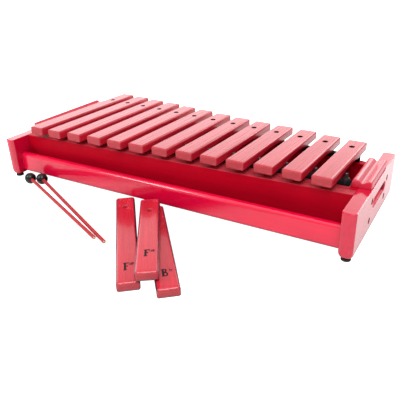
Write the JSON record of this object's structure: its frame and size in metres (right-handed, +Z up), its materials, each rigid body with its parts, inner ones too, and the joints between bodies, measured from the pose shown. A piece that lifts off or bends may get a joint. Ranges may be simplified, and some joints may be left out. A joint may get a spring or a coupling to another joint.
{
  "type": "soprano xylophone",
  "caption": "Table xylophone: tuned wooden bars on pins and posts over a tapered red resonator box between two end boards, with spare chromatic bars and a pair of mallets.",
  "frame": {"origin": "on the floor, under the middle of the box around the instrument with its spare bars and mallets as they lie", "axes": "+Z up, +X from the bass end to the treble end, +Y away from the player"},
  "size_m": [0.6414, 0.48, 0.095],
  "materials": {
    "red_lacquered_wood": "high-gloss red lacquer over board",
    "bar_wood": "satin red stain and lacquer",
    "black_strip": "matt black",
    "black_rubber": "matt black",
    "steel": "plated",
    "mallet_stick": "red lacquered stick",
    "mallet_head": "glossy black ball"
  },
  "bodies": {
    "frame": {"end_board_bass": "red_lacquered_wood", "end_board_treble": "red_lacquered_wood", "front_rail": "red_lacquered_wood", "back_rail": "red_lacquered_wood", "box_front_wall": "red_lacquered_wood", "box_back_wall": "red_lacquered_wood", "box_end_bass": "red_lacquered_wood", "box_end_treble": "red_lacquered_wood", "box_floor": "red_lacquered_wood", "bar_ledge": "red_lacquered_wood", "front_strip": "black_strip", "back_strip": "black_strip", "cap_bass": "red_lacquered_wood", "cap_treble": "red_lacquered_wood", "foot_front_bass": "black_rubber", "foot_front_treble": "black_rubber", "foot_back_bass": "black_rubber", "foot_back_treble": "black_rubber", "pin_c5": "steel", "pin_d5": "steel", "pin_e5": "steel", "pin_f5": "steel", "pin_g5": "steel", "pin_a5": "steel", "pin_b5": "steel", "pin_c6": "steel", "pin_d6": "steel", "pin_e6": "steel", "pin_f6": "steel", "pin_g6": "steel", "pin_a6": "steel", "screw_bass_1": "steel", "screw_bass_2": "steel", "screw_bass_3": "steel", "screw_bass_4": "steel", "screw_treble_1": "steel", "screw_treble_2": "steel", "screw_treble_3": "steel", "screw_treble_4": "steel"},
    "bar_lift_body_c5": {"bar_c5": "bar_wood"},
    "bar_lift_body_d5": {"bar_d5": "bar_wood"},
    "bar_lift_body_e5": {"bar_e5": "bar_wood"},
    "bar_lift_body_f5": {"bar_f5": "bar_wood"},
    "bar_lift_body_g5": {"bar_g5": "bar_wood"},
    "bar_lift_body_a5": {"bar_a5": "bar_wood"},
    "bar_lift_body_b5": {"bar_b5": "bar_wood"},
    "bar_lift_body_c6": {"bar_c6": "bar_wood"},
    "bar_lift_body_d6": {"bar_d6": "bar_wood"},
    "bar_lift_body_e6": {"bar_e6": "bar_wood"},
    "bar_lift_body_f6": {"bar_f6": "bar_wood"},
    "bar_lift_body_g6": {"bar_g6": "bar_wood"},
    "bar_lift_body_a6": {"bar_a6": "bar_wood"},
    "spare_f_sharp5": {"spare_bar_f_sharp5": "bar_wood"},
    "spare_b_flat5": {"spare_bar_b_flat5": "bar_wood"},
    "spare_f_sharp6": {"spare_bar_f_sharp6": "bar_wood"},
    "mallet_a": {"mallet_stick_a": "mallet_stick", "mallet_head_a": "mallet_head"},
    "mallet_b": {"mallet_stick_b": "mallet_stick", "mallet_head_b": "mallet_head"}
  },
  "joints": [
    {"name": "lift_bar_c5", "type": "slide", "parent": "frame", "child": "bar_lift_body_c5", "axis": [0, 0, 1], "range_m": [0, 0.06]},
    {"name": "lift_bar_d5", "type": "slide", "parent": "frame", "child": "bar_lift_body_d5", "axis": [0, 0, 1], "range_m": [0, 0.06]},
    {"name": "lift_bar_e5", "type": "slide", "parent": "frame", "child": "bar_lift_body_e5", "axis": [0, 0, 1], "range_m": [0, 0.06]},
    {"name": "lift_bar_f5", "type": "slide", "parent": "frame", "child": "bar_lift_body_f5", "axis": [0, 0, 1], "range_m": [0, 0.06]},
    {"name": "lift_bar_g5", "type": "slide", "parent": "frame", "child": "bar_lift_body_g5", "axis": [0, 0, 1], "range_m": [0, 0.06]},
    {"name": "lift_bar_a5", "type": "slide", "parent": "frame", "child": "bar_lift_body_a5", "axis": [0, 0, 1], "range_m": [0, 0.06]},
    {"name": "lift_bar_b5", "type": "slide", "parent": "frame", "child": "bar_lift_body_b5", "axis": [0, 0, 1], "range_m": [0, 0.06]},
    {"name": "lift_bar_c6", "type": "slide", "parent": "frame", "child": "bar_lift_body_c6", "axis": [0, 0, 1], "range_m": [0, 0.06]},
    {"name": "lift_bar_d6", "type": "slide", "parent": "frame", "child": "bar_lift_body_d6", "axis": [0, 0, 1], "range_m": [0, 0.06]},
    {"name": "lift_bar_e6", "type": "slide", "parent": "frame", "child": "bar_lift_body_e6", "axis": [0, 0, 1], "range_m": [0, 0.06]},
    {"name": "lift_bar_f6", "type": "slide", "parent": "frame", "child": "bar_lift_body_f6", "axis": [0, 0, 1], "range_m": [0, 0.06]},
    {"name": "lift_bar_g6", "type": "slide", "parent": "frame", "child": "bar_lift_body_g6", "axis": [0, 0, 1], "range_m": [0, 0.06]},
    {"name": "lift_bar_a6", "type": "slide", "parent": "frame", "child": "bar_lift_body_a6", "axis": [0, 0, 1], "range_m": [0, 0.06]},
    {"name": "slide_spare_bar_f_sharp5", "type": "slide", "parent": "frame", "child": "spare_f_sharp5", "axis": [0.632, -0.7749, 0], "range_m": [0, 0.08]},
    {"name": "slide_spare_bar_b_flat5", "type": "slide", "parent": "frame", "child": "spare_b_flat5", "axis": [0.6455, -0.7638, 0], "range_m": [0, 0.08]},
    {"name": "lift_spare_bar_f_sharp6", "type": "slide", "parent": "frame", "child": "spare_f_sharp6", "axis": [0, 0, 1], "range_m": [0, 0.06]},
    {"name": "lift_mallet_a", "type": "slide", "parent": "frame", "child": "mallet_a", "axis": [0, 0, 1], "range_m": [0, 0.1]},
    {"name": "lift_mallet_b", "type": "slide", "parent": "frame", "child": "mallet_b", "axis": [0, 0, 1], "range_m": [0, 0.1]}
  ]
}
